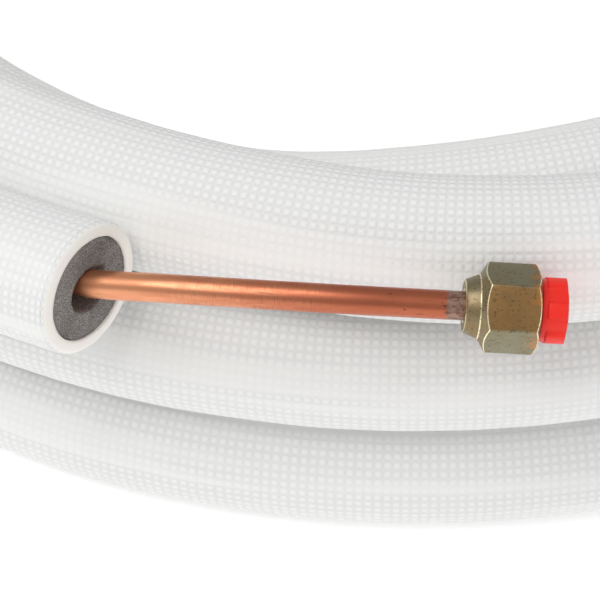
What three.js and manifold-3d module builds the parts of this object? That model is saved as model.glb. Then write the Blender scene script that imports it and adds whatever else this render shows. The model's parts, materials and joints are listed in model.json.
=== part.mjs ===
// Mini split line set: a coiled pair of insulated soft copper lines, with a flare nut and a
// transport cap on each of the four ends. Millimetres, +Z up. The coil lies flat on Z = 0.
import * as THREE from 'three';
import { mergeVertices } from 'three/addons/utils/BufferGeometryUtils.js';
import Module from 'manifold-3d';

// Liquid line, 1/4 inch
const liquidTubeOuter = 6.35;
const liquidTubeWall = 0.8;
const liquidBoreLooseness = 2.4; // the tube is loose in the foam's bore, on the radius
const liquidFoamWall = 6.3;
const liquidJacketWall = 2.8;
const liquidNutAcrossFlats = 17;
const liquidNutLength = 16;
const liquidNeckOuter = 11.6;
const liquidThreadBore = 9.9;
const liquidFlareOuter = 9.0;
const liquidCapHead = 15;

// Suction line, 3/8 inch
const suctionTubeOuter = 9.52;
const suctionTubeWall = 0.8;
const suctionBoreLooseness = 1.4;
const suctionFoamWall = 6.8;
const suctionJacketWall = 2.75;
const suctionNutAcrossFlats = 22;
const suctionNutLength = 20;
const suctionNeckOuter = 15.6;
const suctionThreadBore = 14.4;
const suctionFlareOuter = 13.0;
const suctionCapHead = 19.5;

// Fittings, both sizes
const neckEdge = 0.5; // chamfer round the end of the nut's neck
const neckCone = 1.6; // length of the cone from the neck to the hexagon
const mouthEdge = 0.5; // chamfer round the threaded mouth
const cornerChamfer = 0.6; // length of the hexagon's turned chamfers for each mm of their depth
const flareSleeve = 2; // length over which the flared mouth runs back along the tube
const flareLip = 0.4; // thickness of the flare's rolled lip
const capFlange = 1; // thickness of the cap's flange
const flangeInset = 0.45; // how far the flange stays inside the grip, on the radius
const gripLength = 4.2;
const gripCrown = 0.9; // how far the cap's end stands out past its ribs
const capRibs = 6;
const ribDepth = 0.7;
const plugReach = 2; // length that the cap's plug stays short of the flare

// Clearances
const skinGap = 0.3; // between the foam and the jacket
const turnGap = 0.8; // between one turn and the next
const nutRunning = 0.08; // the nut turns on its tube, on the radius
const seatGap = 0.3; // between the flare and its seat, and the cap and the nut

// Coil and ends
const coilRadius = 192; // centre line of the liquid line's first turn
const bareLength = 92; // copper that stands out of the insulation at each end
const looseLength = 24; // stretch of the bore where the tube leaves the middle
const boreLift = 1.5; // how far the tube has risen in the bore at the cut end
const nutApproach = 6; // straight tube in front of each nut
const endBend = 30; // degrees that the liquid line's upper end straightens by
const endClimb = 19; // degrees that it points up as it leaves the insulation
const endDip = -4.7; // degrees that it points up at its nut
const suctionRise = 5; // degrees that the suction line's upper end points up at its nut
const bendParts = 4; // straight pieces in each bent stretch of bare tube
const stationsPerTurn = 20;
const jacketSides = 10;
const foamSides = 8;
const boreSides = 6;
const tubeSides = 8;
const turnedSides = 18;
const wrenchFlats = 6;

const wasm = await Module();
wasm.setup();

const colours = {
  copper: { color: 0xb4532a, roughness: 0.35, metalness: 1 },
  foam: { color: 0x7b7773, roughness: 0.95, metalness: 0 },
  jacket: { color: 0xeeeeea, roughness: 0.6, metalness: 0 },
  nut: { color: 0xb59a4e, roughness: 0.35, metalness: 1 },
  cap: { color: 0xc5281c, roughness: 0.45, metalness: 0 },
};

function material(name) {
  return new THREE.MeshStandardMaterial(colours[name]);
}

// Each line's sizes, worked out from its tube outwards
function lineSizes(tubeOuter, tubeWall, looseness, foamWall, jacketWall) {
  const bore = tubeOuter / 2 + looseness;
  const foam = bore + foamWall;
  const jacketInner = foam + skinGap;
  const jacket = jacketInner + jacketWall;
  return {
    tube: tubeOuter / 2,
    tubeInner: tubeOuter / 2 - tubeWall,
    bore,
    foam,
    jacketInner,
    jacket,
    floor: jacket * Math.cos(Math.PI / jacketSides),
  };
}

const liquidLine = lineSizes(
  liquidTubeOuter, liquidTubeWall, liquidBoreLooseness, liquidFoamWall, liquidJacketWall,
);
const suctionLine = lineSizes(
  suctionTubeOuter, suctionTubeWall, suctionBoreLooseness, suctionFoamWall, suctionJacketWall,
);
const liquidPitch = 2 * liquidLine.jacket + turnGap;
const sharedPitch = liquidLine.jacket + suctionLine.jacket + turnGap;

// Where each line runs: turns round the coil, columns outwards and rows upwards.
// A column or a row is one tube and its gap. The near side is at 0.75 of each turn.
const liquidRoute = [
  [0.35, -0.02, 0], [0.62, -0.04, 0], [0.78, -0.02, 0], [0.96, 0.02, 0], [1.12, 0.05, 0.4],
  [1.22, 0.05, 0.78], [1.33, 0.05, 1], [1.55, 0.05, 1], [1.78, 0.05, 1], [1.95, 0.06, 1.03],
  [2.08, 0.16, 1.36], [2.2, 0.36, 1.8], [2.33, 0.56, 2.02], [2.52, 0.66, 2.03], [2.655, 0.7, 2],
  [2.68, 0.78, 2], [2.696, 0.86, 2.055],
];
const suctionRoute = [
  [0.39, -1.08, 0], [0.7, -1.08, 0], [1, -1.06, 0], [1.12, -1.08, 0.24], [1.3, -1.16, 0.95],
  [1.42, -1.22, 1.06], [1.6, -1.22, 1.13], [1.71, -1.06, 1.24], [1.75, -1, 1.43], [1.8, -0.95, 1.6],
  [1.9, -0.9, 1.72], [2.06, -0.84, 1.78], [2.25, -0.68, 1.84], [2.42, -0.52, 1.93], [2.62, -0.36, 1.95],
  [2.7, -0.22, 1.95], [2.75, 0, 1.95], [2.8, 0.14, 1.95], [2.92, 0.22, 2.02], [3.03, 0.24, 2.16],
  [3.1, 0.25, 2.4],
];

// A smooth value between the rows of a route, with no overshoot
function between(route, turn, column) {
  let row = 0;
  while (row < route.length - 2 && route[row + 1][0] < turn) {
    row += 1;
  }
  const slope = (k) => {
    if (k <= 0 || k >= route.length - 1) {
      return 0;
    }
    const before = (route[k][column] - route[k - 1][column]) / (route[k][0] - route[k - 1][0]);
    const after = (route[k + 1][column] - route[k][column]) / (route[k + 1][0] - route[k][0]);
    return before * after <= 0 ? 0 : (2 * before * after) / (before + after);
  };
  const width = route[row + 1][0] - route[row][0];
  const s = THREE.MathUtils.clamp((turn - route[row][0]) / width, 0, 1);
  const blend = s * s * (3 - 2 * s);
  return (
    route[row][column] * (1 - blend) + route[row + 1][column] * blend
    + s * (1 - s) * (1 - s) * width * slope(row) - s * s * (1 - s) * width * slope(row + 1)
  );
}

function pointAt(route, turn, line, pitch) {
  const radius = coilRadius + between(route, turn, 1) * pitch;
  const angle = turn * 2 * Math.PI;
  const height = line.floor + between(route, turn, 2) * pitch;
  return new THREE.Vector3(radius * Math.cos(angle), radius * Math.sin(angle), height);
}

// The insulation's centre line, with one more station where the tube starts to leave the middle
function insulationPoints(route, line, pitch) {
  const first = route[0][0];
  const last = route[route.length - 1][0];
  const steps = Math.round((last - first) * stationsPerTurn);
  const turns = Array.from({ length: steps + 1 }, (_, k) => first + ((last - first) * k) / steps);
  const loose = looseLength / (2 * Math.PI * coilRadius);
  turns.splice(1, 0, first + loose);
  turns.splice(turns.length - 1, 0, last - loose);
  return turns.map((turn) => pointAt(route, turn, line, pitch));
}

// Bare copper past the insulation: it bends for a stretch and then runs straight into its nut.
// Its pitch goes from climb to dip, in degrees.
function barePoints(from, along, bend, climb, dip, straight) {
  const heading = Math.atan2(along.y, along.x);
  const stretch = (bareLength - straight) / bendParts;
  const points = [];
  const place = from.clone();
  for (let k = 1; k <= bendParts + 1; k += 1) {
    const share = Math.min(k / bendParts, 1);
    const turned = heading + THREE.MathUtils.degToRad(bend * share);
    const lifted = THREE.MathUtils.degToRad(climb + (dip - climb) * share);
    const step = k <= bendParts ? stretch : straight;
    place.x += step * Math.cos(turned) * Math.cos(lifted);
    place.y += step * Math.sin(turned) * Math.cos(lifted);
    place.z += step * Math.sin(lifted);
    points.push(place.clone());
  }
  return points;
}

// A path that goes straight from point to point, with its stations on them
class StationPath extends THREE.Curve {
  constructor(points) {
    super();
    this.points = points;
  }

  getPoint(t, target = new THREE.Vector3()) {
    const place = THREE.MathUtils.clamp(t, 0, 1) * (this.points.length - 1);
    const first = Math.min(Math.floor(place), this.points.length - 2);
    return target.lerpVectors(this.points[first], this.points[first + 1], place - first);
  }

  getUtoTmapping(u) {
    return u;
  }
}

function polygon(radius, sides, shape) {
  const corners = Array.from({ length: sides }, (_, k) => {
    const angle = ((k + 0.5) * 2 * Math.PI) / sides;
    return new THREE.Vector2(radius * Math.cos(angle), radius * Math.sin(angle));
  });
  return shape.setFromPoints(corners);
}

// A hollow tube along a path
function hollowTube(points, outer, outerSides, inner, innerSides) {
  const section = polygon(outer, outerSides, new THREE.Shape());
  section.holes.push(polygon(inner, innerSides, new THREE.Path()));
  return new THREE.ExtrudeGeometry(section, {
    steps: points.length - 1,
    extrudePath: new StationPath(points),
  });
}

// A turned shape about Z, from radius and height pairs listed anticlockwise
function turned(profile, sides) {
  const points = profile.map(([radius, height]) => new THREE.Vector2(radius, height));
  return new THREE.LatheGeometry(points, sides).rotateX(Math.PI / 2);
}

function solid(geometry) {
  const bare = geometry.clone();
  bare.deleteAttribute('normal');
  bare.deleteAttribute('uv');
  const merged = mergeVertices(bare, 1e-4);
  return new wasm.Manifold(
    new wasm.Mesh({
      numProp: 3,
      vertProperties: Float32Array.from(merged.attributes.position.array),
      triVerts: Uint32Array.from(merged.index.array),
    }),
  );
}

function geometryOf(body) {
  const mesh = body.getMesh();
  const geometry = new THREE.BufferGeometry();
  geometry.setAttribute('position', new THREE.BufferAttribute(mesh.vertProperties, 3));
  geometry.setIndex(new THREE.BufferAttribute(mesh.triVerts, 1));
  geometry.computeVertexNormals();
  return geometry;
}

// Where the parts of a fitting sit along the tube's axis, from the nut's neck at zero
function fittingSizes(line, acrossFlats, length, neckOuter, threadBore, flareOuter, capHead) {
  return {
    line,
    length,
    acrossFlats,
    corner: acrossFlats / Math.sqrt(3),
    neck: neckOuter / 2,
    hexStart: 0.25 * length,
    thread: threadBore / 2,
    flare: flareOuter / 2,
    seat: 0.5 * length,
    cap: capHead / 2,
    flange: capHead / 2 - flangeInset,
    flareStart: 0.5 * length + seatGap * 2,
    flareReach: (flareOuter - line.tube * 2) / 2,
  };
}

// Flare nut: a hexagon with turned chamfers, a short neck, a 45 degree seat and a threaded bore
function flareNut(size) {
  const { length, corner, neck, hexStart, thread, seat, line } = size;
  const bore = line.tube + nutRunning;
  const flat = size.acrossFlats / 2;
  const chamfer = (corner - flat) * cornerChamfer;
  const blank = turned([
    [bore, 0], [neck - neckEdge, 0], [neck, neckEdge], [neck, hexStart - neckCone], [flat, hexStart],
    [corner, hexStart + chamfer], [corner, length - chamfer], [flat, length],
    [thread + mouthEdge, length], [thread, length - mouthEdge], [thread, seat + thread - bore],
    [bore, seat], [bore, 0],
  ], turnedSides);
  const hexagon = polygon(corner, wrenchFlats, new THREE.Shape());
  const prism = new THREE.ExtrudeGeometry(hexagon, { depth: length * 2, bevelEnabled: false });
  prism.translate(0, 0, -length / 2);
  return geometryOf(solid(blank).intersect(solid(prism)));
}

// The tube's flared mouth, which the nut's seat catches
function flareMouth(size) {
  const { line, flare, flareStart, flareReach } = size;
  const back = flareStart - flareSleeve;
  const end = flareStart + flareReach;
  return turned([
    [line.tubeInner, back], [line.tube, back], [line.tube, flareStart], [flare, end],
    [flare, end + flareLip], [line.tubeInner + flareReach, end + flareLip],
    [line.tubeInner, flareStart + flareLip], [line.tubeInner, back],
  ], turnedSides);
}

// Transport cap: a plug in the nut's mouth, a flange and a ribbed grip
function transportCap(size) {
  const { length, thread, cap, flange, flareStart, flareReach } = size;
  const plug = thread - seatGap;
  const plugStart = flareStart + flareReach + plugReach;
  const flangeStart = length + seatGap;
  const gripStart = flangeStart + capFlange;
  const gripEnd = gripStart + gripLength;
  const core = turned([
    [0, plugStart], [plug, plugStart], [plug, flangeStart], [flange, flangeStart],
    [flange, gripStart], [cap - ribDepth, gripStart + flangeInset], [cap - ribDepth, gripEnd],
    [cap / 2, gripEnd + gripCrown], [0, gripEnd + gripCrown],
  ], turnedSides);
  const cornersPerRib = 4;
  const corners = capRibs * cornersPerRib;
  const outline = new THREE.Shape().setFromPoints(
    Array.from({ length: corners }, (_, k) => {
      const angle = ((k - 0.5) * 2 * Math.PI) / corners;
      const radius = k % cornersPerRib < 2 ? cap : cap - ribDepth * 1.2;
      return new THREE.Vector2(radius * Math.cos(angle), radius * Math.sin(angle));
    }),
  );
  const grip = new THREE.ExtrudeGeometry(outline, { depth: gripLength, bevelEnabled: false });
  grip.translate(0, 0, gripStart - flangeInset / 2);
  return geometryOf(solid(core).add(solid(grip)));
}

// Turns a fitting so that it points along the tube, with a wrench flat towards the given side
function placing(from, along, side) {
  const z = along.clone().normalize();
  const x = side.clone().addScaledVector(z, -side.dot(z)).normalize();
  const y = new THREE.Vector3().crossVectors(z, x);
  const matrix = new THREE.Matrix4().makeBasis(x, y, z);
  return matrix.setPosition(from);
}

const set = new THREE.Group();
const fittings = new THREE.Group();

function addFitting(name, end, matrix, size) {
  const parts = [['flare_nut', flareNut(size), 'nut'], ['cap', transportCap(size), 'cap']];
  for (const [kind, geometry, finish] of parts) {
    const mesh = new THREE.Mesh(geometry, material(finish));
    mesh.name = `${name}_${kind}_${end}`;
    matrix.decompose(mesh.position, mesh.quaternion, mesh.scale);
    fittings.add(mesh);
  }
}

// One whole line: jacket, foam, copper with its flares, and the two fittings
function addLine(name, route, line, pitch, size, upper) {
  const middle = insulationPoints(route, line, pitch);
  const straight = size.flareStart + nutApproach;
  const count = middle.length;
  const startAlong = middle[0].clone().sub(middle[1]);
  const endAlong = middle[count - 1].clone().sub(middle[count - 2]);
  const curl = THREE.MathUtils.radToDeg((bareLength - straight) / middle[0].length());
  const startBare = barePoints(middle[0], startAlong, -curl, 0, 0, straight).reverse();
  const leaving = middle[count - 1].clone();
  leaving.z += upper.lift;
  const endBare = barePoints(leaving, endAlong, upper.bend, upper.climb, upper.dip, straight);
  const tubeLine = [...startBare, ...middle.slice(0, -1), leaving, ...endBare];

  const jacket = hollowTube(middle, line.jacket, jacketSides, line.jacketInner, foamSides);
  const foam = hollowTube(middle, line.foam, foamSides, line.bore, boreSides);
  const tube = hollowTube(tubeLine, line.tube, tubeSides, line.tubeInner, boreSides);
  const inward = new THREE.Vector3(-tubeLine[0].x, -tubeLine[0].y, 0);
  const ends = [
    ['a', tubeLine[0], tubeLine[1], inward],
    ['b', tubeLine[tubeLine.length - 1], tubeLine[tubeLine.length - 2], upper.side],
  ];
  let copper = solid(tube);
  for (const [end, tip, before, side] of ends) {
    const along = tip.clone().sub(before).normalize();
    const neck = tip.clone().addScaledVector(along, -size.flareStart);
    const matrix = placing(neck, along, side);
    copper = copper.add(solid(flareMouth(size).applyMatrix4(matrix)));
    addFitting(name, end, matrix, size);
  }
  const pieces = [['jacket', jacket], ['foam', foam], ['copper', geometryOf(copper)]];
  for (const [kind, geometry] of pieces) {
    const mesh = new THREE.Mesh(geometry, material(kind));
    mesh.name = `${name}_${kind}`;
    set.add(mesh);
  }
}

const liquidFitting = fittingSizes(
  liquidLine, liquidNutAcrossFlats, liquidNutLength, liquidNeckOuter, liquidThreadBore,
  liquidFlareOuter, liquidCapHead,
);
const suctionFitting = fittingSizes(
  suctionLine, suctionNutAcrossFlats, suctionNutLength, suctionNeckOuter, suctionThreadBore,
  suctionFlareOuter, suctionCapHead,
);

addLine('liquid', liquidRoute, liquidLine, liquidPitch, liquidFitting, {
  bend: endBend,
  climb: endClimb,
  dip: endDip,
  lift: boreLift,
  side: new THREE.Vector3(0, -0.77, 0.64),
});
addLine('suction', suctionRoute, suctionLine, sharedPitch, suctionFitting, {
  bend: 0,
  climb: 0,
  dip: suctionRise,
  lift: 0,
  side: new THREE.Vector3(0, 0, 1),
});
set.add(fittings);

// The origin is under the middle of the set, on the floor
set.updateMatrixWorld(true);
const bounds = new THREE.Box3().setFromObject(set, true);
const middleOfSet = bounds.getCenter(new THREE.Vector3());
set.position.set(-middleOfSet.x, -middleOfSet.y, -bounds.min.z);

export default set;
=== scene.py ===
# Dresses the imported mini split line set: two insulated copper lines wound in one flat coil.
# Sizes in the dictionaries are millimetres; meshes are made in metres.
import json
import math

import bpy
import bmesh
import numpy as np
from mathutils import Matrix, Vector, noise


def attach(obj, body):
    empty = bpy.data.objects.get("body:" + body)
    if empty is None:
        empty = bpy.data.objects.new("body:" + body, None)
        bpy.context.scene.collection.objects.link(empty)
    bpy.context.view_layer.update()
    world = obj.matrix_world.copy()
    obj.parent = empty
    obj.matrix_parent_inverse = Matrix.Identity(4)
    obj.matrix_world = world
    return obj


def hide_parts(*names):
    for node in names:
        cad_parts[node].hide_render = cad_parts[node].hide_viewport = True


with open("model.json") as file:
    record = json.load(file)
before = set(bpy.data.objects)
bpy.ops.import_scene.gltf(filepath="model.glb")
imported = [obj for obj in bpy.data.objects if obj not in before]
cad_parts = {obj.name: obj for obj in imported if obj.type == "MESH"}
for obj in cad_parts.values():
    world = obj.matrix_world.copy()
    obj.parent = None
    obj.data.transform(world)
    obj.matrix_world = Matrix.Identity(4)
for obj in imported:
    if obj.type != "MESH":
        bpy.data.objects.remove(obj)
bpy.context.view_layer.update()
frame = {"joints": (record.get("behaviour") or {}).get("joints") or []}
mm = 0.001
print("frame loaded")

# The coil, with the same values as the part's source
coil = {
    "radius": 192.0,
    "turnGap": 0.8,
    "looseLength": 24.0,
    "bareLength": 92.0,
    "boreLift": 1.5,
    "endBend": 30.0,
    "endClimb": 19.0,
    "endDip": -4.7,
    "suctionRise": 5.0,
    "bendParts": 4,
    "jacketSides": 10,
    "skinGap": 0.3,
    "seatGap": 0.3,
    "seatRun": 6.0,
}
# How finely the centre lines are laid out
laying = {
    "woundPoints": 700, "endParts": 6, "smoothings": 12,
    "insideStart": 10, "insideEnd": 2, "insideStep": 5,
}
# Each row of a route is its turn, then how many pitches it lies outward and up
liquidRoute = [
    (0.35, -0.02, 0), (0.62, -0.04, 0), (0.78, -0.02, 0), (0.96, 0.02, 0), (1.12, 0.05, 0.4),
    (1.22, 0.05, 0.78), (1.33, 0.05, 1), (1.55, 0.05, 1), (1.78, 0.05, 1), (1.95, 0.06, 1.03),
    (2.08, 0.16, 1.36), (2.2, 0.36, 1.8), (2.33, 0.56, 2.02), (2.52, 0.66, 2.03),
    (2.655, 0.7, 2), (2.68, 0.78, 2), (2.696, 0.86, 2.055),
]
suctionRoute = [
    (0.39, -1.08, 0), (0.7, -1.08, 0), (1, -1.06, 0), (1.12, -1.08, 0.24), (1.3, -1.16, 0.95),
    (1.42, -1.22, 1.06), (1.6, -1.22, 1.13), (1.71, -1.06, 1.24), (1.75, -1, 1.43),
    (1.8, -0.95, 1.6), (1.9, -0.9, 1.72), (2.06, -0.84, 1.78), (2.25, -0.68, 1.84),
    (2.42, -0.52, 1.93), (2.62, -0.36, 1.95), (2.7, -0.22, 1.95), (2.75, 0, 1.95),
    (2.8, 0.14, 1.95), (2.92, 0.22, 2.02), (3.03, 0.24, 2.16), (3.1, 0.25, 2.4),
]
liquidLine = {
    "tubeOuter": 6.35, "tubeWall": 0.8, "looseness": 2.4, "foamWall": 6.3, "jacketWall": 2.8,
    "nutLength": 16.0, "acrossFlats": 17.0, "neckOuter": 11.6, "threadBore": 9.9,
    "flareOuter": 9.0, "capHead": 15.0,
}
suctionLine = {
    "tubeOuter": 9.52, "tubeWall": 0.8, "looseness": 1.4, "foamWall": 6.8, "jacketWall": 2.75,
    "nutLength": 20.0, "acrossFlats": 22.0, "neckOuter": 15.6, "threadBore": 14.4,
    "flareOuter": 13.0, "capHead": 19.5,
}


def sizeUp(line):
    line["tube"] = line["tubeOuter"] / 2
    line["tubeInner"] = line["tube"] - line["tubeWall"]
    line["bore"] = line["tube"] + line["looseness"]
    line["foam"] = line["bore"] + line["foamWall"]
    line["jacketInner"] = line["foam"] + coil["skinGap"]
    line["jacket"] = line["jacketInner"] + line["jacketWall"]
    line["floor"] = line["jacket"] * math.cos(math.pi / coil["jacketSides"])
    line["seat"] = 0.5 * line["nutLength"]
    line["straight"] = line["seat"] + 2 * coil["seatGap"] + coil["seatRun"]


sizeUp(liquidLine)
sizeUp(suctionLine)
liquidPitch = 2 * liquidLine["jacket"] + coil["turnGap"]
sharedPitch = liquidLine["jacket"] + suctionLine["jacket"] + coil["turnGap"]


def clamped(share):
    return min(max(share, 0), 1)


def between(route, turn, column):
    # A smooth value between the rows of a route, with no overshoot
    row = 0
    while row < len(route) - 2 and route[row + 1][0] < turn:
        row += 1

    def slope(k):
        if k <= 0 or k >= len(route) - 1:
            return 0.0
        before = (route[k][column] - route[k - 1][column]) / (route[k][0] - route[k - 1][0])
        after = (route[k + 1][column] - route[k][column]) / (route[k + 1][0] - route[k][0])
        return 0.0 if before * after <= 0 else 2 * before * after / (before + after)

    width = route[row + 1][0] - route[row][0]
    s = clamped((turn - route[row][0]) / width)
    blend = s * s * (3 - 2 * s)
    value = route[row][column] * (1 - blend) + route[row + 1][column] * blend
    value += s * (1 - s) ** 2 * width * slope(row)
    return value - s * s * (1 - s) * width * slope(row + 1)


def pointAt(route, turn, line, pitch):
    radius = coil["radius"] + between(route, turn, 1) * pitch
    angle = turn * 2 * math.pi
    height = line["floor"] + between(route, turn, 2) * pitch
    return np.array([radius * math.cos(angle), radius * math.sin(angle), height])


def barePoints(start, along, bend, climb, dip, straight):
    # Bare copper past the insulation: it bends for a stretch, then runs straight into its nut
    heading = math.atan2(along[1], along[0])
    parts = coil["bendParts"]
    stretch = (coil["bareLength"] - straight) / parts
    place = np.array(start, float)
    points = []
    for k in range(1, parts + 2):
        share = min(k / parts, 1)
        turned = heading + math.radians(bend * share)
        lifted = math.radians(climb + (dip - climb) * share)
        step = stretch if k <= parts else straight
        place = place + step * np.array([
            math.cos(turned) * math.cos(lifted),
            math.sin(turned) * math.cos(lifted),
            math.sin(lifted),
        ])
        points.append(place)
    return points


def smoothThrough(points, step=1.5):
    # A smooth curve through points whose last stretch stays straight
    p = np.array(points)
    tangents = np.gradient(p, axis=0)
    last = p[-1] - p[-2]
    tangents[-1] = last
    tangents[-2] = last / np.linalg.norm(last) * np.linalg.norm(p[-2] - p[-3])
    out = [p[0]]
    for k in range(len(p) - 1):
        chord = np.linalg.norm(p[k + 1] - p[k])
        m0 = tangents[k] / np.linalg.norm(tangents[k]) * chord
        m1 = tangents[k + 1] / np.linalg.norm(tangents[k + 1]) * chord
        for s in np.linspace(0, 1, max(int(chord / step), 1) + 1)[1:]:
            a, b = 2 * s**3 - 3 * s**2 + 1, s**3 - 2 * s**2 + s
            c, d = -2 * s**3 + 3 * s**2, s**3 - s**2
            out.append(a * p[k] + b * m0 + c * p[k + 1] + d * m1)
    return out


class Path:
    # A centre line with its own distance, direction, outward side and up at each point
    def __init__(self, points):
        self.points = np.array(points, float)
        steps = np.linalg.norm(np.diff(self.points, axis=0), axis=1)
        self.run = np.concatenate([[0], np.cumsum(steps)])
        along = np.gradient(self.points, self.run, axis=0)
        self.along = along / np.linalg.norm(along, axis=1)[:, None]

    def at(self, distance):
        inside = min(max(distance, 0), self.run[-1])
        place = np.array([np.interp(inside, self.run, self.points[:, k]) for k in range(3)])
        along = np.array([np.interp(inside, self.run, self.along[:, k]) for k in range(3)])
        along /= np.linalg.norm(along)
        side = np.cross(along, (0, 0, 1))
        side /= np.linalg.norm(side)
        return place + along * (distance - inside), along, side, np.cross(side, along)


def linePaths(route, line, pitch, upper):
    first, last = route[0][0], route[-1][0]
    loose = coil["looseLength"] / (2 * math.pi * coil["radius"])
    startPoint, endPoint = pointAt(route, first, line, pitch), pointAt(route, last, line, pitch)
    turns = np.linspace(first + loose, last - loose, laying["woundPoints"])
    wound = [pointAt(route, turn, line, pitch) for turn in turns]
    startAlong, endAlong = startPoint - wound[0], endPoint - wound[-1]
    # Both ends of the insulation are straight for the loose stretch
    parts = laying["endParts"]
    lead = [startPoint - startAlong * k / parts for k in range(parts)]
    tail = [wound[-1] + endAlong * (k + 1) / parts for k in range(parts)]
    fine = np.array(lead + wound + tail)
    for _ in range(laying["smoothings"]):
        fine[1:-1] = (fine[:-2] + 2 * fine[1:-1] + fine[2:]) / 4
    insulation = Path(fine)

    spare = coil["bareLength"] - line["straight"]
    curl = math.degrees(spare / np.linalg.norm(fine[0]))
    startBare = barePoints(fine[0], startAlong, -curl, 0, 0, line["straight"])
    leaving = fine[-1] + np.array([0, 0, upper["lift"]])
    endBare = barePoints(leaving, endAlong, upper["bend"], upper["climb"], upper["dip"], line["straight"])

    length = insulation.run[-1]
    inside = []
    for distance in np.arange(laying["insideStart"], length - laying["insideEnd"], laying["insideStep"]):
        s = clamped((distance - length + coil["looseLength"]) / coil["looseLength"])
        lifted = np.array([0, 0, upper["lift"] * s * s * (3 - 2 * s)])
        inside.append(insulation.at(distance)[0] + lifted)
    startPiece = smoothThrough([inside[0], fine[0]] + startBare)
    endPiece = smoothThrough([inside[-1], leaving] + endBare)
    copper = Path(startPiece[::-1] + inside[1:-1] + endPiece)
    return insulation, copper


upperEnds = {
    "liquid": {
        "bend": coil["endBend"], "climb": coil["endClimb"], "dip": coil["endDip"], "lift": coil["boreLift"],
    },
    "suction": {"bend": 0.0, "climb": 0.0, "dip": coil["suctionRise"], "lift": 0.0},
}
lines = {
    "liquid": (liquidLine, linePaths(liquidRoute, liquidLine, liquidPitch, upperEnds["liquid"])),
    "suction": (suctionLine, linePaths(suctionRoute, suctionLine, sharedPitch, upperEnds["suction"])),
}

# The part's frame has its origin under the middle of the set, so a nut gives the shift
jointAt = {j["child"]: j for j in frame["joints"]}
tip = lines["liquid"][1][1].points[-1]
nutJoint = jointAt["liquid_nut_b"]
nutMiddle = np.array(nutJoint["pos_m"]) / mm
nutAlong = np.array(nutJoint["axis"])
backToTip = liquidLine["seat"] + 2 * coil["seatGap"] - liquidLine["nutLength"] / 2
shift = nutMiddle + nutAlong * backToTip - tip
print("shift from the coil's axis", shift.round(2))


# Camera, as in the photograph: 40 degrees above the near side, with a long lens
camera = {
    "target": (-27.0, -189.0, 60.0), "elevation": 40.0, "distance": 800.0, "lens": 213.9,
    "sensor": 36, "clipStart": 20.0,
}


def addCamera():
    lift = math.radians(camera["elevation"])
    target = Vector(camera["target"]) + Vector(shift)
    back = Vector((0, -math.cos(lift), math.sin(lift)))
    bpy.ops.object.camera_add(
        location=(target + back * camera["distance"]) * mm,
        rotation=(math.pi / 2 - lift, 0, 0),
    )
    eye = bpy.context.object
    eye.data.lens = camera["lens"]
    eye.data.sensor_width = camera["sensor"]
    eye.data.clip_start = camera["clipStart"] * mm
    bpy.context.scene.camera = eye


addCamera()
print("camera placed")


# Small helpers for nodes
def newMaterial(name):
    material = bpy.data.materials.new(name)
    material.use_nodes = True
    return material, material.node_tree, material.node_tree.nodes["Principled BSDF"]


def newGroup(name, inputs, outputs):
    group = bpy.data.node_groups.new(name, "ShaderNodeTree")
    for label, kind, value in inputs:
        socket = group.interface.new_socket(label, in_out="INPUT", socket_type=kind)
        if value is not None:
            socket.default_value = value
    for label, kind in outputs:
        group.interface.new_socket(label, in_out="OUTPUT", socket_type=kind)
    return group, group.nodes.new("NodeGroupInput"), group.nodes.new("NodeGroupOutput")


def calc(tree, operation, a, b=None, clamp=False):
    node = tree.nodes.new("ShaderNodeMath")
    node.operation = operation
    node.use_clamp = clamp
    for socket, value in zip(node.inputs, (a, b)):
        if value is None:
            continue
        if isinstance(value, (int, float)):
            socket.default_value = value
        else:
            tree.links.new(value, socket)
    return node.outputs[0]


def remap(tree, value, low, high, toLow=0.0, toHigh=1.0, smooth=True):
    node = tree.nodes.new("ShaderNodeMapRange")
    node.interpolation_type = "SMOOTHSTEP" if smooth else "LINEAR"
    tree.links.new(value, node.inputs["Value"])
    for label, number in (("From Min", low), ("From Max", high), ("To Min", toLow), ("To Max", toHigh)):
        node.inputs[label].default_value = number
    return node.outputs["Result"]


def mixColour(tree, factor, a, b, blend="MIX"):
    node = tree.nodes.new("ShaderNodeMix")
    node.data_type = "RGBA"
    node.blend_type = blend
    if isinstance(factor, (int, float)):
        node.inputs["Factor"].default_value = factor
    else:
        tree.links.new(factor, node.inputs["Factor"])
    for socket, value in ((node.inputs[6], a), (node.inputs[7], b)):
        if isinstance(value, (tuple, list)):
            socket.default_value = (*value, 1)
        else:
            tree.links.new(value, socket)
    return node.outputs[2]


def noiseAt(tree, vector, scale, detail=3.0, rough=0.5):
    node = tree.nodes.new("ShaderNodeTexNoise")
    node.inputs["Scale"].default_value = scale
    node.inputs["Detail"].default_value = detail
    node.inputs["Roughness"].default_value = rough
    tree.links.new(vector, node.inputs["Vector"])
    return node.outputs["Fac"]


def stretched(tree, vector, scale):
    node = tree.nodes.new("ShaderNodeMapping")
    node.inputs["Scale"].default_value = scale
    tree.links.new(vector, node.inputs["Vector"])
    return node.outputs["Vector"]


def surfaceMap(tree):
    node = tree.nodes.new("ShaderNodeUVMap")
    node.uv_map = "surface"
    return node.outputs["UV"]


def objectPlace(tree):
    return tree.nodes.new("ShaderNodeTexCoord").outputs["Object"]


def bumped(tree, height, strength, distance, before=None):
    node = tree.nodes.new("ShaderNodeBump")
    node.inputs["Strength"].default_value = strength
    node.inputs["Distance"].default_value = distance
    tree.links.new(height, node.inputs["Height"])
    if before is not None:
        tree.links.new(before, node.inputs["Normal"])
    return node.outputs["Normal"]


def soften(shader, weight, radius):
    # Light goes a little way into the plastic
    shader.inputs["Subsurface Weight"].default_value = weight
    shader.inputs["Subsurface Radius"].default_value = radius
    shader.inputs["Subsurface Scale"].default_value = 1.0


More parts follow.
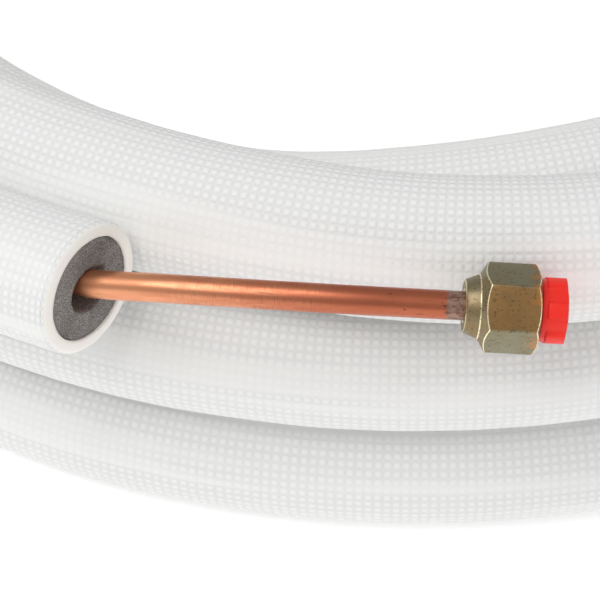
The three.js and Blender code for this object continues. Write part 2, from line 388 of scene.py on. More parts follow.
def makeWaffleGroup():
    # Rows of small raised squares: the map is counted in cells
    group, given, out = newGroup(
        "waffleEmboss",
        [("Cells", "NodeSocketVector", None), ("Groove", "NodeSocketFloat", 0.2)],
        [("Height", "NodeSocketFloat")],
    )
    split = group.nodes.new("ShaderNodeSeparateXYZ")
    group.links.new(given.outputs["Cells"], split.inputs[0])
    sides = []
    for axis in (0, 1):
        wave = calc(group, "FRACT", split.outputs[axis])
        centred = calc(group, "ABSOLUTE", calc(group, "SUBTRACT", wave, 0.5))
        edge = calc(group, "SUBTRACT", 0.5, centred)
        level = calc(group, "DIVIDE", edge, given.outputs["Groove"], clamp=True)
        sides.append(calc(group, "SMOOTH_MIN", level, 1.0))
    product = calc(group, "MULTIPLY", sides[0], sides[1])
    group.links.new(product, out.inputs["Height"])
    return group


def makeSpeckleGroup():
    # Fine light and dark grains over a slow change of tone
    group, given, out = newGroup(
        "grainAndCloud",
        [
            ("Vector", "NodeSocketVector", None),
            ("Grain scale", "NodeSocketFloat", 2000.0),
            ("Cloud scale", "NodeSocketFloat", 120.0),
        ],
        [("Grain", "NodeSocketFloat"), ("Cloud", "NodeSocketFloat")],
    )
    for label, output, detail in (("Grain scale", "Grain", 2.0), ("Cloud scale", "Cloud", 4.0)):
        node = group.nodes.new("ShaderNodeTexNoise")
        node.inputs["Detail"].default_value = detail
        node.inputs["Roughness"].default_value = 0.6
        group.links.new(given.outputs["Vector"], node.inputs["Vector"])
        group.links.new(given.outputs[label], node.inputs["Scale"])
        group.links.new(node.outputs["Fac"], out.inputs[output])
    return group


waffleGroup = makeWaffleGroup()
speckleGroup = makeSpeckleGroup()


def useGroup(tree, group, **values):
    node = tree.nodes.new("ShaderNodeGroup")
    node.node_tree = group
    for label, value in values.items():
        socket = node.inputs[label.replace("_", " ")]
        if isinstance(value, (int, float)):
            socket.default_value = value
        else:
            tree.links.new(value, socket)
    return node


# White embossed skin
skinLook = {
    "colour": (0.88, 0.88, 0.865),
    "grooveShadeColour": (0.79, 0.795, 0.79),
    "streakColour": (0.86, 0.86, 0.85),
    "cellLength": 2.0,
    "groove": 0.36,
    "roughness": 0.62,
    "embossDepth": 0.22,
    "waveDepth": 0.4,
}


def skinMaterial():
    material, tree, shader = newMaterial("embossedSkin")
    cells = surfaceMap(tree)
    emboss = useGroup(tree, waffleGroup, Cells=cells, Groove=skinLook["groove"]).outputs["Height"]
    # In places the pattern has been pressed flat, in long bands along the tube
    band = noiseAt(tree, stretched(tree, cells, (0.012, 0.16, 1)), 1.0, 2.0)
    press = remap(tree, band, 0.36, 0.56, 0.25, 1.0)
    height = calc(tree, "MULTIPLY", emboss, press)
    streak = noiseAt(tree, stretched(tree, cells, (0.03, 0.9, 1)), 1.0, 3.0)
    soft = noiseAt(tree, stretched(tree, cells, (0.5, 0.5, 1)), 1.0, 3.0)
    # Painted shade: the grooves of the emboss are coloured darker than the raised squares, and this painted
    # shade fades out where the pattern is pressed flat
    tone = mixColour(tree, remap(tree, emboss, 0.1, 0.9), skinLook["grooveShadeColour"], skinLook["colour"])
    tone = mixColour(tree, remap(tree, press, 0.3, 1.0, 0.75, 0.0), tone, skinLook["colour"])
    streaked = remap(tree, streak, 0.55, 0.75, 0.0, 0.35)
    tone = mixColour(tree, streaked, tone, skinLook["streakColour"])
    tree.links.new(tone, shader.inputs["Base Color"])
    first = bumped(tree, height, 1.0, skinLook["embossDepth"] * mm)
    waves = calc(tree, "ADD", streak, soft)
    second = bumped(tree, waves, 0.35, skinLook["waveDepth"] * mm, first)
    tree.links.new(second, shader.inputs["Normal"])
    shader.inputs["Roughness"].default_value = skinLook["roughness"]
    shader.inputs["Specular IOR Level"].default_value = 0.35
    soften(shader, 0.15, (0.002, 0.002, 0.0018))
    return material


# The pale cut edge of the skin
cutSkinLook = {"cream": (0.94, 0.92, 0.86), "warm": (0.95, 0.9, 0.865), "roughness": 0.7}


def cutSkinMaterial():
    material, tree, shader = newMaterial("cutSkin")
    grains = useGroup(tree, speckleGroup, Vector=objectPlace(tree), Grain_scale=3200.0, Cloud_scale=160.0)
    cloud = remap(tree, grains.outputs["Cloud"], 0.4, 0.62)
    tone = mixColour(tree, cloud, cutSkinLook["cream"], cutSkinLook["warm"])
    tree.links.new(tone, shader.inputs["Base Color"])
    tree.links.new(bumped(tree, grains.outputs["Grain"], 0.25, 0.0002), shader.inputs["Normal"])
    shader.inputs["Roughness"].default_value = cutSkinLook["roughness"]
    soften(shader, 0.2, (0.002, 0.0018, 0.0015))
    return material


# Grey open-celled foam
foamColours = {
    "darkGrain": (0.1, 0.094, 0.088),
    "lightGrain": (0.42, 0.4, 0.38),
    "cellMiddle": (0.5, 0.48, 0.46),
    "cloud": (0.12, 0.11, 0.105),
}


def foamMaterial():
    material, tree, shader = newMaterial("greyFoam")
    place = objectPlace(tree)
    grains = useGroup(tree, speckleGroup, Vector=place, Grain_scale=4200.0, Cloud_scale=170.0)
    cells = tree.nodes.new("ShaderNodeTexVoronoi")
    cells.inputs["Scale"].default_value = 1900.0
    tree.links.new(place, cells.inputs["Vector"])
    grain = remap(tree, grains.outputs["Grain"], 0.36, 0.64)
    tone = mixColour(tree, grain, foamColours["darkGrain"], foamColours["lightGrain"])
    middles = remap(tree, cells.outputs["Distance"], 0.0, 0.35, 0.35, 0.0)
    tone = mixColour(tree, middles, tone, foamColours["cellMiddle"])
    cloud = remap(tree, grains.outputs["Cloud"], 0.4, 0.65, 0.0, 0.4)
    tone = mixColour(tree, cloud, tone, foamColours["cloud"])
    tree.links.new(tone, shader.inputs["Base Color"])
    tree.links.new(bumped(tree, grains.outputs["Grain"], 0.8, 0.0004), shader.inputs["Normal"])
    shader.inputs["Roughness"].default_value = 0.95
    shader.inputs["Specular IOR Level"].default_value = 0.2
    return material


# Soft copper: bright by the insulation, redder and duller towards the nut.
# The pairs are distances from the cut face, between which a mark comes in or goes out.
copperLook = {
    "bright": (0.83, 0.37, 0.2),
    "deep": (0.47, 0.14, 0.075),
    "stain": (0.16, 0.07, 0.045),
    "handled": (0.05, 0.03, 0.03),
    "oxide": (0.33, 0.24, 0.19),
    "darkOxide": (0.14, 0.07, 0.05),
    "dulling": (2.0, 78.0),
    "ringsIn": (14.0, 26.0),
    "ringsOut": (50.0, 66.0),
    "handledIn": (62.0, 72.0),
    "oxideIn": (80.4, 81.2),
}


def copperMaterial():
    material, tree, shader = newMaterial("softCopper")
    surface = surfaceMap(tree)
    split = tree.nodes.new("ShaderNodeSeparateXYZ")
    tree.links.new(surface, split.inputs[0])
    out, around = split.outputs[0], split.outputs[1]
    patches = noiseAt(tree, stretched(tree, surface, (0.09, 0.3, 1)), 1.0, 4.0, 0.6)
    farther = remap(tree, out, *copperLook["dulling"], 0.0, 0.75, False)
    duller = calc(tree, "ADD", farther, calc(tree, "MULTIPLY", patches, 0.6))
    tone = mixColour(tree, remap(tree, duller, 0.2, 0.95), copperLook["bright"], copperLook["deep"])
    # Fine rings left by straightening, with dark specks between them
    rings = noiseAt(tree, stretched(tree, surface, (6.0, 0.4, 1)), 1.0, 2.0)
    ringsOut = remap(tree, out, *copperLook["ringsOut"], 1.0, 0.15)
    ringArea = calc(tree, "MULTIPLY", remap(tree, out, *copperLook["ringsIn"]), ringsOut)
    ringMask = calc(tree, "MULTIPLY", remap(tree, rings, 0.52, 0.72), ringArea)
    tone = mixColour(tree, calc(tree, "MULTIPLY", ringMask, 0.4), tone, copperLook["stain"])
    specks = noiseAt(tree, stretched(tree, surface, (1.7, 1.5, 1)), 1.0, 3.0, 0.7)
    tone = mixColour(tree, remap(tree, specks, 0.66, 0.74, 0.0, 0.65), tone, copperLook["stain"])
    # A long dull stain along one side, and handling marks near the nut
    stain = noiseAt(tree, stretched(tree, surface, (0.055, 0.55, 1)), 1.0, 3.0, 0.7)
    tone = mixColour(tree, remap(tree, stain, 0.60, 0.70, 0.0, 0.6), tone, copperLook["stain"])
    marks = noiseAt(tree, stretched(tree, surface, (0.45, 0.9, 1)), 1.0, 4.0, 0.75)
    handled = remap(tree, out, *copperLook["handledIn"])
    markMask = calc(tree, "MULTIPLY", remap(tree, marks, 0.60, 0.66), handled)
    tone = mixColour(tree, calc(tree, "MULTIPLY", markMask, 0.8), tone, copperLook["handled"])
    # The heat tint of the ring next to the nut
    ringEdge = calc(tree, "ADD", out, calc(tree, "MULTIPLY", patches, 2.5))
    oxide = remap(tree, ringEdge, *copperLook["oxideIn"])
    blotch = remap(tree, marks, 0.42, 0.62)
    oxideTone = mixColour(tree, blotch, copperLook["oxide"], copperLook["darkOxide"])
    tone = mixColour(tree, calc(tree, "MULTIPLY", oxide, 0.85), tone, oxideTone)
    tree.links.new(tone, shader.inputs["Base Color"])
    patchRough = remap(tree, patches, 0.3, 0.7, 0.3, 0.42)
    rough = calc(tree, "ADD", patchRough, calc(tree, "MULTIPLY", ringMask, 0.15))
    tree.links.new(rough, shader.inputs["Roughness"])
    metal = remap(tree, oxide, 0.0, 1.0, 1.0, 0.7)
    tree.links.new(metal, shader.inputs["Metallic"])
    first = bumped(tree, calc(tree, "MULTIPLY", rings, ringArea), 0.5, 0.00006)
    scratches = noiseAt(tree, stretched(tree, surface, (0.12, 5.0, 1)), 1.0, 3.0, 0.6)
    tree.links.new(bumped(tree, scratches, 0.2, 0.00005, first), shader.inputs["Normal"])
    return material


# Brass with a yellow-green coat, dark pits and some rust at the mouth, and painted light that differs from
# flat to flat
brassLook = {"pit": (0.09, 0.065, 0.03), "rust": (0.55, 0.2, 0.04)}


def brassMaterial(name, dark, light, metal, roughLow, roughHigh):
    material, tree, shader = newMaterial(name)
    place = objectPlace(tree)
    grains = useGroup(tree, speckleGroup, Vector=place, Grain_scale=1500.0, Cloud_scale=260.0)
    flat = tree.nodes.new("ShaderNodeAttribute")
    flat.attribute_name = "flatLightTint"
    cloudShare = calc(tree, "MULTIPLY", grains.outputs["Cloud"], 0.7)
    # The colour leans between the two brass colours by a random cloud and by painted light, which is set
    # for each flat by the way it faces
    flatLightShare = calc(tree, "MULTIPLY", flat.outputs["Fac"], 0.6)
    lean = calc(tree, "ADD", cloudShare, flatLightShare)
    tone = mixColour(tree, remap(tree, lean, 0.3, 0.9), dark, light)
    pits = remap(tree, grains.outputs["Grain"], 0.56, 0.70, 0.0, 0.7)
    tone = mixColour(tree, pits, tone, brassLook["pit"])
    rust = noiseAt(tree, place, 330.0, 4.0, 0.6)
    mouth = tree.nodes.new("ShaderNodeAttribute")
    mouth.attribute_name = "mouthEnd"
    nearMouth = remap(tree, mouth.outputs["Fac"], 0.78, 1.0)
    rustMask = calc(tree, "MULTIPLY", remap(tree, rust, 0.48, 0.62), nearMouth)
    tone = mixColour(tree, calc(tree, "MULTIPLY", rustMask, 0.75), tone, brassLook["rust"])
    tree.links.new(tone, shader.inputs["Base Color"])
    rough = remap(tree, grains.outputs["Cloud"], 0.3, 0.7, roughLow, roughHigh)
    tree.links.new(rough, shader.inputs["Roughness"])
    tree.links.new(bumped(tree, grains.outputs["Grain"], 0.3, 0.00008), shader.inputs["Normal"])
    shader.inputs["Metallic"].default_value = metal
    return material


capLook = {"deep": (0.86, 0.018, 0.01), "bright": (0.92, 0.035, 0.02)}


def capMaterial():
    material, tree, shader = newMaterial("redPlastic")
    grains = useGroup(tree, speckleGroup, Vector=objectPlace(tree), Grain_scale=900.0, Cloud_scale=140.0)
    tone = mixColour(tree, grains.outputs["Cloud"], capLook["deep"], capLook["bright"])
    tree.links.new(tone, shader.inputs["Base Color"])
    tree.links.new(remap(tree, grains.outputs["Grain"], 0.3, 0.7, 0.3, 0.4), shader.inputs["Roughness"])
    tree.links.new(bumped(tree, grains.outputs["Grain"], 0.12, 0.0001), shader.inputs["Normal"])
    soften(shader, 0.15, (0.002, 0.0004, 0.0003))
    shader.inputs["Specular IOR Level"].default_value = 0.3
    return material


skin = skinMaterial()
cutSkin = cutSkinMaterial()
foamLook = foamMaterial()
copperMetal = copperMaterial()
brass = brassMaterial("passivatedBrass", (0.23, 0.22, 0.14), (0.28, 0.16, 0.06), 0.8, 0.32, 0.5)
# The pale edge brass is partly real wear and partly a painted highlight along the nut's edges
brassWearAndHighlight = brassMaterial("wornBrassEdgeAndHighlight", (0.85, 0.74, 0.42), (0.95, 0.86, 0.6), 1.0, 0.2, 0.3)
redPlastic = capMaterial()
print("materials made")


def lumpAt(point, scale, seed):
    # One smooth value at a point in space, between about -1 and 1
    return noise.noise(Vector(point) * scale + Vector((seed, 2.1 * seed, -seed)))


def anglesRound(sides):
    return np.arange(sides) * 2 * math.pi / sides


floorClear = 0.05  # no laid point comes nearer to the floor


def sweepRings(name, path, rings, sides, closed, materials):
    # Lays rings of points round a path and joins each to the next.
    # A ring is its distance, radii, shift along the path, map value and material number.
    angles = anglesRound(sides)
    corners = []
    for ring in rings:
        place, along, side, up = path.at(ring["at"])
        radii = ring["radii"] if not np.isscalar(ring["radii"]) else np.full(sides, ring["radii"])
        ahead = ring.get("ahead", 0.0)
        ahead = ahead if not np.isscalar(ahead) else np.full(sides, ahead)
        out = np.outer(radii * np.cos(angles), side) + np.outer(radii * np.sin(angles), up)
        corners.append(place + out + np.outer(ahead, along) + shift)
    points = np.concatenate(corners)
    points[:, 2] = np.maximum(points[:, 2], floorClear)
    faces, kinds, maps = [], [], []
    pairs = len(rings) if closed else len(rings) - 1
    for k in range(pairs):
        here, there = rings[k], rings[(k + 1) % len(rings)]
        top = there["map"] if k + 1 < len(rings) else there["map"] + 1
        for j in range(sides):
            n = (j + 1) % sides
            a, b = k * sides, ((k + 1) % len(rings)) * sides
            faces.append((a + j, b + j, b + n, a + n))
            kinds.append(here.get("kind", 0))
            low, high = here["round"] * j / sides, here["round"] * (j + 1) / sides
            maps.extend([(here["map"], low), (top, low), (top, high), (here["map"], high)])
    mesh = bpy.data.meshes.new(name)
    mesh.from_pydata((points * mm).tolist(), [], faces)
    layer = mesh.uv_layers.new(name="surface")
    layer.data.foreach_set("uv", np.array(maps, np.float32).ravel())
    mesh.polygons.foreach_set("material_index", kinds)
    for material in materials:
        mesh.materials.append(material)
    piece = bpy.data.objects.new(name, mesh)
    bpy.context.scene.collection.objects.link(piece)
    shape = bmesh.new()
    shape.from_mesh(mesh)
    bmesh.ops.recalc_face_normals(shape, faces=shape.faces)
    shape.to_mesh(mesh)
    shape.free()
    mesh.polygons.foreach_set("use_smooth", [True] * len(mesh.polygons))
    return piece


# The jacket: an embossed outer face with rounded cut ends
jacketLook = {
    "sides": 64, "step": 4.0, "swell": 0.4, "corner": 1.3, "wander": 0.22, "innerStep": 14.0,
    "obliqueRun": 16.0, "obliqueCut": 8.0, "plainCut": 2.0, "cornerParts": 4, "faceParts": 3,
    "cornerMap": 0.3, "innerInset": 2, "ripple": 0.12,
}


def oblique(distance, length, radii, angles, cut):
    # The upper cut isn't square: one side of the end stands further out
    s = clamped((distance - length + jacketLook["obliqueRun"]) / jacketLook["obliqueRun"])
    return -math.tan(math.radians(cut)) * s * s * radii * np.cos(angles)


def buildJacket(name, line, path, cut):
    sides, corner = jacketLook["sides"], jacketLook["corner"]
    cornerParts, faceParts = jacketLook["cornerParts"], jacketLook["faceParts"]
    angles = anglesRound(sides)
    outer = line["jacket"] + jacketLook["swell"]
    length = path.run[-1]
    cellsRound = round(2 * math.pi * line["jacket"] / skinLook["cellLength"])
    rings = []

    def addRing(distance, radii, mapAt, kind=0):
        radii = np.full(sides, radii) if np.isscalar(radii) else radii
        rings.append({
            "at": distance, "radii": radii, "ahead": oblique(distance, length, radii, angles, cut),
            "map": mapAt / skinLook["cellLength"], "round": cellsRound, "kind": kind,
        })

    def rounded(k):
        # The radius of a ring on the rounded corner, and how far on it lies
        turn = k / cornerParts * math.pi / 2
        return outer - corner * (1 - math.cos(turn)), corner * math.sin(turn)

    def faceRadius(k):
        return outer - corner + (line["jacketInner"] - outer + corner) * k / faceParts

    steps = int((length - 2 * corner) / jacketLook["step"])
    for distance in np.linspace(corner, length - corner, steps):
        place, _, side, up = path.at(distance)
        around = [place + outer * (math.cos(a) * side + math.sin(a) * up) for a in angles]
        wander = np.array([lumpAt(p, 0.035, 3.0) + 0.5 * lumpAt(p, 0.11, 9.0) for p in around])
        addRing(distance, outer + wander * jacketLook["wander"], distance)
    for k in range(1, cornerParts + 1):
        radii, on = rounded(k)
        addRing(length - corner + on, radii, length + k * jacketLook["cornerMap"], 0 if k < 2 else 1)
    for k in range(1, faceParts + 1):
        waves = np.array([lumpAt((math.cos(a) * 3, math.sin(a) * 3, k), 1.0, 4.0) for a in angles])
        radii = faceRadius(k) + jacketLook["ripple"] * waves
        addRing(length + 0.05 * (k < faceParts), radii, length + 2 + k, 1)
    inset = jacketLook["innerInset"]
    for distance in np.linspace(length - inset, inset, int(length / jacketLook["innerStep"])):
        addRing(distance, line["jacketInner"], 2 * length - distance, 1)
    for k in range(faceParts, 0, -1):
        addRing(0, faceRadius(k), 0, 1)
    for k in range(cornerParts, 0, -1):
        radii, on = rounded(k)
        addRing(corner - on, radii, -k * jacketLook["cornerMap"], 0 if k < 2 else 1)
    return sweepRings(name, path, rings, sides, True, [skin, cutSkin])


# The foam: a plain tube with a rough, open-celled cut at each end
foamShape = {
    "sides": 72, "innerStep": 16.0, "roughFace": 0.16, "recess": 0.35, "faceRings": 12,
    "boreInset": 0.25, "pressRun": 12, "widening": 0.5, "press": 1.0, "pressSpread": 60,
    "nickAngle": 152, "nickSpread": 9, "nickDepth": 1.2, "raggedness": 0.22,
}


def buildFoam(name, line, path, cut, notch):
    sides = foamShape["sides"]
    angles = anglesRound(sides)
    length = path.run[-1]
    rings = []

    def boreAt(distance):
        radii = np.full(sides, line["bore"] - foamShape["boreInset"])
        if not notch:
            return radii
        # The tube presses up into the foam, and a nick is torn beside it
        near = clamped(1 - (length - distance) / foamShape["pressRun"])
        upwards = np.exp(-((np.degrees(angles) - 90) / foamShape["pressSpread"]) ** 2)
        nick = np.exp(-((np.degrees(angles) - foamShape["nickAngle"]) / foamShape["nickSpread"]) ** 2)
        ragged = np.array([lumpAt((math.cos(a) * 2, math.sin(a) * 2, 0.2), 1.6, 7.0) for a in angles])
        opened = foamShape["widening"] - foamShape["press"] * upwards
        opened = opened + foamShape["nickDepth"] * nick + foamShape["raggedness"] * ragged
        return radii + near * opened

    def addFace(distance, outward, flip):
        order = range(foamShape["faceRings"] + 1)
        inner = boreAt(distance)
        for k in (reversed(order) if flip else order):
            share = k / foamShape["faceRings"]
            radii = line["foam"] * (1 - share) + inner * share
            rough = np.array([
                lumpAt((r * math.cos(a), r * math.sin(a), outward), 1.3, 5.0)
                + 0.6 * lumpAt((r * math.cos(a), r * math.sin(a), outward), 3.1, 8.0)
                for r, a in zip(radii, angles)
            ])
            ahead = oblique(distance, length, radii, angles, cut)
            ahead = ahead - outward * (foamShape["recess"] - foamShape["roughFace"] * rough)
            rings.append({"at": distance, "radii": radii, "ahead": ahead, "map": k, "round": 8})

    outerSteps = np.linspace(3, length - 3, int(length / foamShape["innerStep"]))
    for distance in outerSteps:
        rings.append({"at": distance, "radii": line["foam"], "map": distance, "round": 8})
    addFace(length, 1, False)
    for distance in np.concatenate([np.linspace(length - 1, length - 24, 14), outerSteps[::-1][2:-1]]):
        radii = boreAt(distance)
        ahead = oblique(distance, length, radii, angles, cut)
        rings.append({"at": distance, "radii": radii, "ahead": ahead, "map": distance, "round": 8})
    addFace(0, -1, True)
    return sweepRings(name, path, rings, sides, True, [foamLook])


# The copper tube, with its flare at each end
tubeShape = {
    "sides": 48, "fineStep": 1.5, "coarseStep": 12.0, "wander": 0.045, "wanderFrom": 24,
    "wanderRise": 10, "underSize": 0.02, "lip": 0.4, "innerEvery": 8,
}


def buildTube(name, line, path, faceAt):
    sides = tubeShape["sides"]
    angles = anglesRound(sides)
    length = path.run[-1]
    flare, lip = line["flareOuter"] / 2, tubeShape["lip"]
    reach = flare - line["tube"]
    fineRun = coil["bareLength"] + coil["looseLength"]
    distances = np.concatenate([
        np.arange(0.5, fineRun, tubeShape["fineStep"]),
        np.arange(fineRun, length - fineRun, tubeShape["coarseStep"]),
        np.arange(length - fineRun, length, tubeShape["fineStep"]),
    ])
    rings = []

    def addRing(distance, radii, ahead=0.0):
        outward = distance - faceAt if distance > length / 2 else length - faceAt - distance
        rings.append({
            "at": distance, "radii": radii, "ahead": ahead,
            "map": outward, "round": round(2 * math.pi * line["tube"]),
        })

    addRing(0, flare, -reach)
    for distance in distances:
        edge = min(distance, length - distance)
        loose = clamped((edge - tubeShape["wanderFrom"]) / tubeShape["wanderRise"])
        wander = np.array([lumpAt((distance * 0.12, math.cos(a), math.sin(a)), 0.9, 2.0) for a in angles])
        addRing(distance, line["tube"] + loose * tubeShape["wander"] * wander - tubeShape["underSize"])
    addRing(length, line["tube"])
    addRing(length, flare, reach)
    addRing(length, flare - lip, reach + lip)
    addRing(length, line["tubeInner"], lip)
    for distance in distances[::-tubeShape["innerEvery"]]:
        addRing(distance, line["tubeInner"])
    addRing(0, line["tubeInner"], -lip)
    addRing(0, flare - lip, -reach - lip)
    return sweepRings(name, path, rings, sides, True, [copperMetal])


def dress(piece, body, nodes):
    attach(piece, body)
    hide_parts(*nodes)


for name, (line, (insulation, copperPath)) in lines.items():
    cut = jacketLook["obliqueCut" if name == "liquid" else "plainCut"]
    jacket = buildJacket(f"{name}Jacket", line, insulation, cut)
    foam = buildFoam(f"{name}Foam", line, insulation, cut, name == "liquid")
    faceAt = copperPath.run[-1] - coil["bareLength"]
    tube = buildTube(f"{name}Tube", line, copperPath, faceAt)
    dress(jacket, "coil", [f"{name}_jacket"])
    dress(foam, "coil", [f"{name}_foam"])
    dress(tube, "coil", [f"{name}_copper"])
    print(name, "line laid", round(float(insulation.run[-1])), "mm insulated")


def deselectAll():
    if bpy.context.object and bpy.context.object.mode == "EDIT":
        bpy.ops.object.mode_set(mode="OBJECT")
    bpy.ops.object.select_all(action="DESELECT")


def spinProfile(name, profile, steps=96):
    # Turns a closed outline of radius and height about Z
    deselectAll()
    mesh = bpy.data.meshes.new(name)
    points = [(radius * mm, 0, height * mm) for radius, height in profile]
    edges = [(k, (k + 1) % len(points)) for k in range(len(points))]
    mesh.from_pydata(points, edges, [])
    piece = bpy.data.objects.new(name, mesh)
    bpy.context.scene.collection.objects.link(piece)
    bpy.context.view_layer.objects.active = piece
    piece.select_set(True)
    bpy.ops.object.mode_set(mode="EDIT")
    bpy.ops.mesh.select_all(action="SELECT")
    bpy.ops.mesh.spin(steps=steps, angle=2 * math.pi, center=(0, 0, 0), axis=(0, 0, 1))
    bpy.ops.mesh.select_all(action="SELECT")
    bpy.ops.mesh.remove_doubles(threshold=0.000002)
    bpy.ops.mesh.normals_make_consistent(inside=False)
    bpy.ops.object.mode_set(mode="OBJECT")
    return piece


def applyBoolean(piece, cutter, operation):
    modifier = piece.modifiers.new("shape", "BOOLEAN")
    modifier.operation = operation
    modifier.object = cutter
    modifier.solver = "EXACT"
    bpy.context.view_layer.objects.active = piece
    bpy.ops.object.modifier_apply(modifier=modifier.name)
    bpy.data.objects.remove(cutter)


def applyBevel(piece, width, segments, angle, material=-1):
    modifier = piece.modifiers.new("edges", "BEVEL")
    modifier.width = width * mm
    modifier.segments = segments
    modifier.limit_method = "ANGLE"
    modifier.angle_limit = math.radians(angle)
    modifier.material = material
    modifier.harden_normals = False
    bpy.context.view_layer.objects.active = piece
    bpy.ops.object.modifier_apply(modifier=modifier.name)


# Flare nut: forged hexagon, short coned neck, chamfered corners
nutShape = {
    "edgeWearAndHighlight": 0.16, "running": 0.08, "nominalFlats": 17.0, "boreEdge": 0.25, "neckEdge": 0.3,
    "coneReach": 1.15, "coneEnd": 3.1, "shoulderReach": 1.8, "shoulderEnd": 3.7, "hexStart": 5.0,
    "cornerChamfer": 0.95, "faceInset": 0.35, "mouthEdge": 0.5, "cornerRound": 0.35,
    "overlap": 0.05, "prismSpare": 4,
}


def modelNut(line):
    length, flats = line["nutLength"], line["acrossFlats"]
    corner = flats / math.sqrt(3)
    neck, bore, thread = line["neckOuter"] / 2, line["tube"] + nutShape["running"], line["threadBore"] / 2
    grow = flats / nutShape["nominalFlats"]
    edge, mouth, wide = nutShape["boreEdge"], nutShape["mouthEdge"], corner + nutShape["overlap"]
    profile = [
        (bore + edge, 0), (neck - nutShape["neckEdge"], 0), (neck, nutShape["neckEdge"]),
        (neck + nutShape["coneReach"] * grow, nutShape["coneEnd"] * grow),
        (neck + nutShape["shoulderReach"] * grow, nutShape["shoulderEnd"] * grow),
        (wide, nutShape["hexStart"] * grow), (wide, length - nutShape["cornerChamfer"] * grow),
        (flats / 2 - nutShape["faceInset"], length), (thread + mouth, length), (thread, length - mouth),
        (thread, line["seat"] + thread - bore), (bore, line["seat"]), (bore, edge),
    ]
    nut = spinProfile("nutBlank", profile)
    deselectAll()
    bpy.ops.mesh.primitive_cylinder_add(
        vertices=6, radius=corner * mm, depth=(length + nutShape["prismSpare"]) * mm,
        location=(0, 0, length / 2 * mm),
    )
    prism = bpy.context.object
    bpy.ops.object.transform_apply(location=True, rotation=True, scale=True)
    applyBevel(prism, nutShape["cornerRound"], 3, 30)
    applyBoolean(nut, prism, "INTERSECT")
    nut.data.materials.clear()
    nut.data.materials.append(brass)
    nut.data.materials.append(brassWearAndHighlight)
    # The narrow edge bevels take the pale edge material: worn brass with a painted highlight
    applyBevel(nut, nutShape["edgeWearAndHighlight"], 2, 24, 1)
    addNutMarks(nut, length)
    finishShading(nut, 22)
    return nut


def addNutMarks(nut, length):
    # How much painted light each flat gets by the way it faces, and how near the mouth a point lies
    mesh = nut.data
    paintedFlatLight = mesh.attributes.new("flatLightTint", "FLOAT", "FACE")
    flatLightLevels = (0.9, 0.15, 0.5, 0.3, 0.65, 0.2)
    plain = 0.4  # the neck, the chamfers and the bore
    values = []
    for face in mesh.polygons:
        turn = math.degrees(math.atan2(face.normal.y, face.normal.x)) % 360
        isFlat = abs(face.normal.z) < 0.02 and face.area > 0.00001
        values.append(flatLightLevels[int(((turn + 30) % 360) // 60)] if isFlat else plain)
    paintedFlatLight.data.foreach_set("value", values)
    mouth = mesh.attributes.new("mouthEnd", "FLOAT", "POINT")
    mouth.data.foreach_set("value", [v.co.z / (length * mm) for v in mesh.vertices])


def finishShading(piece, angle):
    deselectAll()
    bpy.context.view_layer.objects.active = piece
    piece.select_set(True)
    bpy.ops.object.shade_smooth_by_angle(angle=math.radians(angle))


# Transport cap: plug, flange and a grip with six broad ribs
capShape = {
    "ribs": 6, "ribHalf": 12.0, "ribFlank": 4.0, "valley": 0.8, "scoop": 0.25, "scoopStart": 14,
    "scoopSpan": 32, "flange": 1.1, "flangeInset": 0.75, "grip": 4.2, "gripInset": 0.9,
    "crown": 0.6, "crownShare": 0.55, "edge": 0.25, "nominalHead": 15.0,
}


def modelCap(line):
    length, grow = line["nutLength"], line["capHead"] / capShape["nominalHead"]
    head = line["capHead"] / 2
    flangeRadius, innerGrip = head - capShape["flangeInset"], head - capShape["gripInset"]
    plug = line["threadBore"] / 2 - coil["seatGap"]
    start = length + coil["seatGap"]
    flareEnd = line["seat"] + 2 * coil["seatGap"] + line["flareOuter"] / 2 - line["tube"] + 1
    gripStart = start + capShape["flange"]
    gripEnd = gripStart + capShape["grip"] * grow
    core = spinProfile("capCore", [
        (0, flareEnd + 1), (plug, flareEnd + 1), (plug, start), (flangeRadius, start),
        (flangeRadius, gripStart), (innerGrip, gripStart), (innerGrip, gripEnd + 0.1),
        (head * capShape["crownShare"], gripEnd + capShape["crown"]),
        (0, gripEnd + capShape["crown"] + 0.1),
    ], 72)
    deselectAll()
    bpy.ops.mesh.primitive_circle_add(vertices=144, radius=head * mm, fill_type="NGON")
    grip = bpy.context.object
    for vertex in grip.data.vertices:
        turn = math.degrees(math.atan2(vertex.co.y, vertex.co.x)) % (360 / capShape["ribs"])
        turn = min(turn, 360 / capShape["ribs"] - turn)
        drop = clamped((turn - capShape["ribHalf"]) / capShape["ribFlank"])
        across = clamped((turn - capShape["scoopStart"]) / capShape["scoopSpan"])
        scoop = capShape["scoop"] * math.sin(math.pi * across)
        reach = head - capShape["valley"] * drop - scoop
        vertex.co.x *= reach / head
        vertex.co.y *= reach / head
    bpy.ops.object.mode_set(mode="EDIT")
    bpy.ops.mesh.select_all(action="SELECT")
    bpy.ops.mesh.extrude_region_move(TRANSFORM_OT_translate={"value": (0, 0, capShape["grip"] * grow * mm)})
    bpy.ops.mesh.select_all(action="SELECT")
    bpy.ops.mesh.normals_make_consistent(inside=False)
    bpy.ops.transform.translate(value=(0, 0, gripStart * mm))
    bpy.ops.object.mode_set(mode="OBJECT")
    bpy.ops.object.transform_apply(location=True, rotation=True, scale=True)
    applyBevel(grip, capShape["edge"], 3, 50)
    applyBoolean(core, grip, "UNION")
    core.data.materials.clear()
    core.data.materials.append(redPlastic)
    finishShading(core, 35)
    return core


def placing(along, side, middle, length):
    z = Vector(along).normalized()
    x = (Vector(side) - z * z.dot(Vector(side))).normalized()
    y = z.cross(x)
    turn = Matrix((x, y, z)).transposed().to_4x4()
    return Matrix.Translation(Vector(middle) - z * (length / 2) * mm) @ turn


def placeCopy(model, name, matrix):
    piece = bpy.data.objects.new(name, model.data.copy())
    bpy.context.scene.collection.objects.link(piece)
    piece.data.transform(matrix)
    return piece
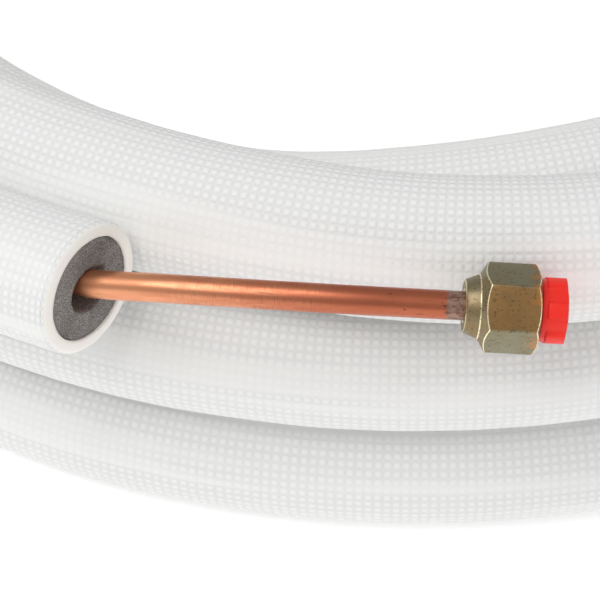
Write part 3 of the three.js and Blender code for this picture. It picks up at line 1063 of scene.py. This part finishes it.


# The side each nut's local x points to; the liquid nut's points at the camera, which sets where the painted
# light of its flats falls
wrenchSide = {"liquid_nut_b": (0, -0.77, 0.64), "suction_nut_b": (0, 0, 1)}
coilAxis = Vector((shift[0], shift[1], 0)) * mm
for name, (line, paths) in lines.items():
    nutModel, capModel = modelNut(line), modelCap(line)
    for end in "ab":
        body = f"{name}_nut_{end}"
        joint = jointAt[body]
        inward = coilAxis - Vector((joint["pos_m"][0], joint["pos_m"][1], 0))
        side = wrenchSide.get(body, inward)
        matrix = placing(joint["axis"], side, joint["pos_m"], line["nutLength"])
        nut = placeCopy(nutModel, f"{name}FlareNut_{end}", matrix)
        cap = placeCopy(capModel, f"{name}Cap_{end}", matrix)
        dress(nut, body, [f"{name}_flare_nut_{end}"])
        dress(cap, body, [f"{name}_cap_{end}"])
    bpy.data.objects.remove(nutModel)
    bpy.data.objects.remove(capModel)
print("nuts and caps placed")

# Studio: a pale floor, two broad soft lights and an even bright surround
studio = {"floor": (0.95, 0.95, 0.95), "glow": 0.3, "surround": 0.5, "key": 8.0, "fill": 2.0}


def addFloor():
    deselectAll()
    bpy.ops.mesh.primitive_plane_add(size=8, location=(0, 0, 0))
    floor = bpy.context.object
    floor.name = "studioFloor"
    material, _, shader = newMaterial("studioFloor")
    shader.inputs["Base Color"].default_value = (*studio["floor"], 1)
    shader.inputs["Roughness"].default_value = 0.9
    shader.inputs["Emission Color"].default_value = (1, 1, 1, 1)
    shader.inputs["Emission Strength"].default_value = studio["glow"]
    floor.data.materials.append(material)


def addLight(name, location, size, power):
    bpy.ops.object.light_add(type="AREA", location=location)
    light = bpy.context.object
    light.name = name
    light.data.size = size
    light.data.energy = power
    light.rotation_euler = (-Vector(location)).to_track_quat("-Z", "Y").to_euler()


addFloor()
addLight("keyLight", (-0.55, -0.5, 1.15), 0.9, studio["key"])
addLight("fillLight", (0.9, -0.9, 0.9), 1.2, studio["fill"])
world = bpy.data.worlds.new("surround")
bpy.context.scene.world = world
world.use_nodes = True
world.node_tree.nodes["Background"].inputs["Color"].default_value = (1, 1, 1, 1)
world.node_tree.nodes["Background"].inputs["Strength"].default_value = studio["surround"]
bpy.context.scene.view_settings.view_transform = "Standard"
print("studio lit")
